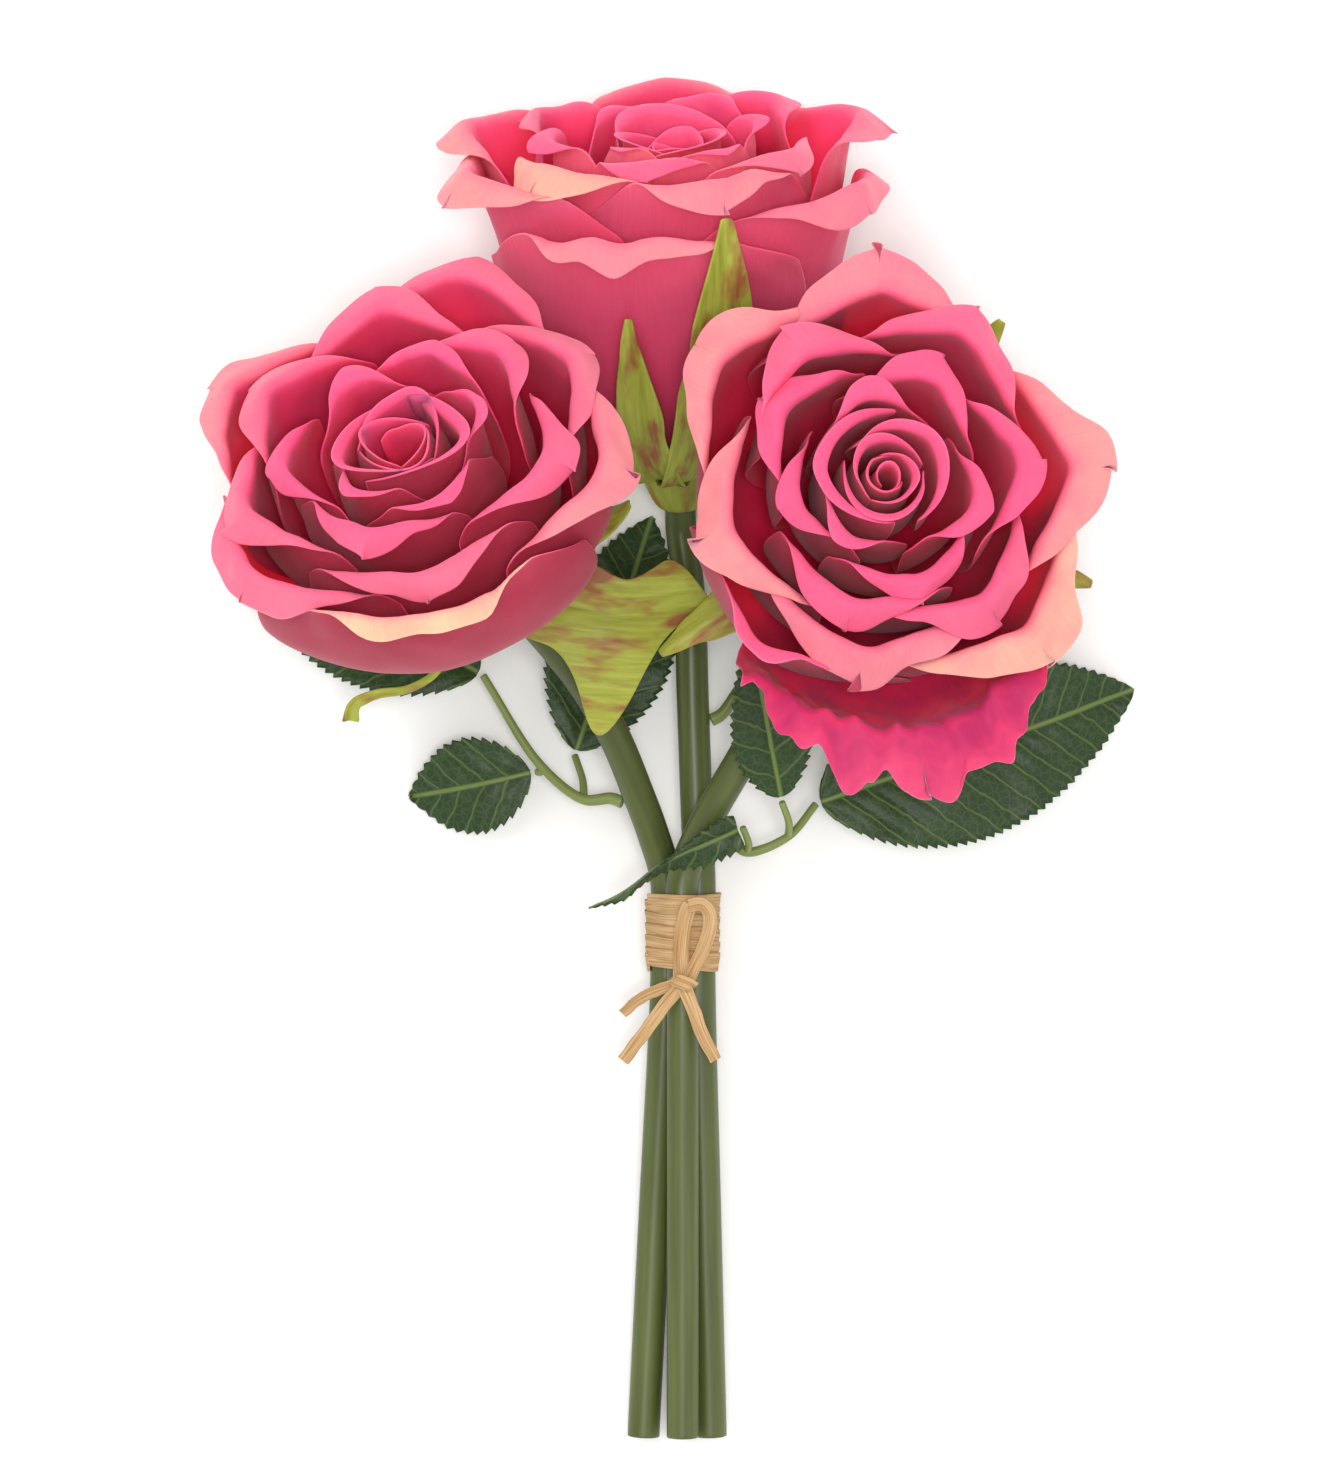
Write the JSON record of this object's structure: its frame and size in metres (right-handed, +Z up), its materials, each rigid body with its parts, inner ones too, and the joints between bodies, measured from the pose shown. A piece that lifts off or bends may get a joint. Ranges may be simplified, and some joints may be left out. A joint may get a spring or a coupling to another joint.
{
  "type": "bunch of roses",
  "caption": "Bunch of open roses with leaves, tied low on the stems by a raffia band and bow, lying on its side.",
  "frame": {"origin": "centre of the bounding box's underside, on the surface the bunch lies on", "axes": "+Y along the stems from the cut ends to the flowers, +Z up off the surface the bunch lies on, and +X across the bunch"},
  "size_m": [0.1988, 0.2962, 0.1186],
  "materials": {
    "petal": "soft matt petal, deep pink with paler pink to cream lips",
    "heart": "soft matt petal, crimson pink, rolled up",
    "calyx": "yellow-green moulded receptacle and sepals, red-brown at the edges",
    "stem": "smooth olive green stem, slight gloss",
    "leaf_stalk": "smooth pale green stalk",
    "leaf": "dark green leaf with paler veins, slight gloss",
    "raffia": "dry tan raffia strips with a fine grain along them"
  },
  "bodies": {
    "root": {"left_petal_01": "petal", "left_petal_02": "petal", "left_petal_03": "petal", "left_petal_04": "petal", "left_petal_05": "petal", "left_petal_06": "petal", "left_petal_07": "petal", "left_petal_08": "petal", "left_petal_09": "petal", "left_petal_10": "petal", "left_petal_11": "petal", "left_petal_12": "petal", "left_bud": "heart", "left_calyx": "calyx", "right_petal_01": "petal", "right_petal_02": "petal", "right_petal_03": "petal", "right_petal_04": "petal", "right_petal_05": "petal", "right_petal_06": "petal", "right_petal_07": "petal", "right_petal_08": "petal", "right_petal_09": "petal", "right_petal_10": "petal", "right_petal_11": "petal", "right_petal_12": "petal", "right_bud": "heart", "right_calyx": "calyx", "top_petal_01": "petal", "top_petal_02": "petal", "top_petal_03": "petal", "top_petal_04": "petal", "top_petal_05": "petal", "top_petal_06": "petal", "top_petal_07": "petal", "top_petal_08": "petal", "top_petal_09": "petal", "top_petal_10": "petal", "top_petal_11": "petal", "top_petal_12": "petal", "top_bud": "heart", "top_calyx": "calyx", "left_stem": "stem", "right_stem": "stem", "top_stem": "stem", "left_leaf_stalk": "leaf_stalk", "left_leaflet_1": "leaf", "left_leaflet_2": "leaf", "left_leaflet_3": "leaf", "right_leaf_stalk": "leaf_stalk", "right_leaflet_1": "leaf", "right_leaflet_2": "leaf", "right_leaflet_3": "leaf", "top_leaf_stalk": "leaf_stalk", "top_leaflet_1": "leaf", "top_leaflet_2": "leaf", "top_leaflet_3": "leaf", "raffia_band": "raffia", "raffia_bow": "raffia"}
  },
  "joints": []
}
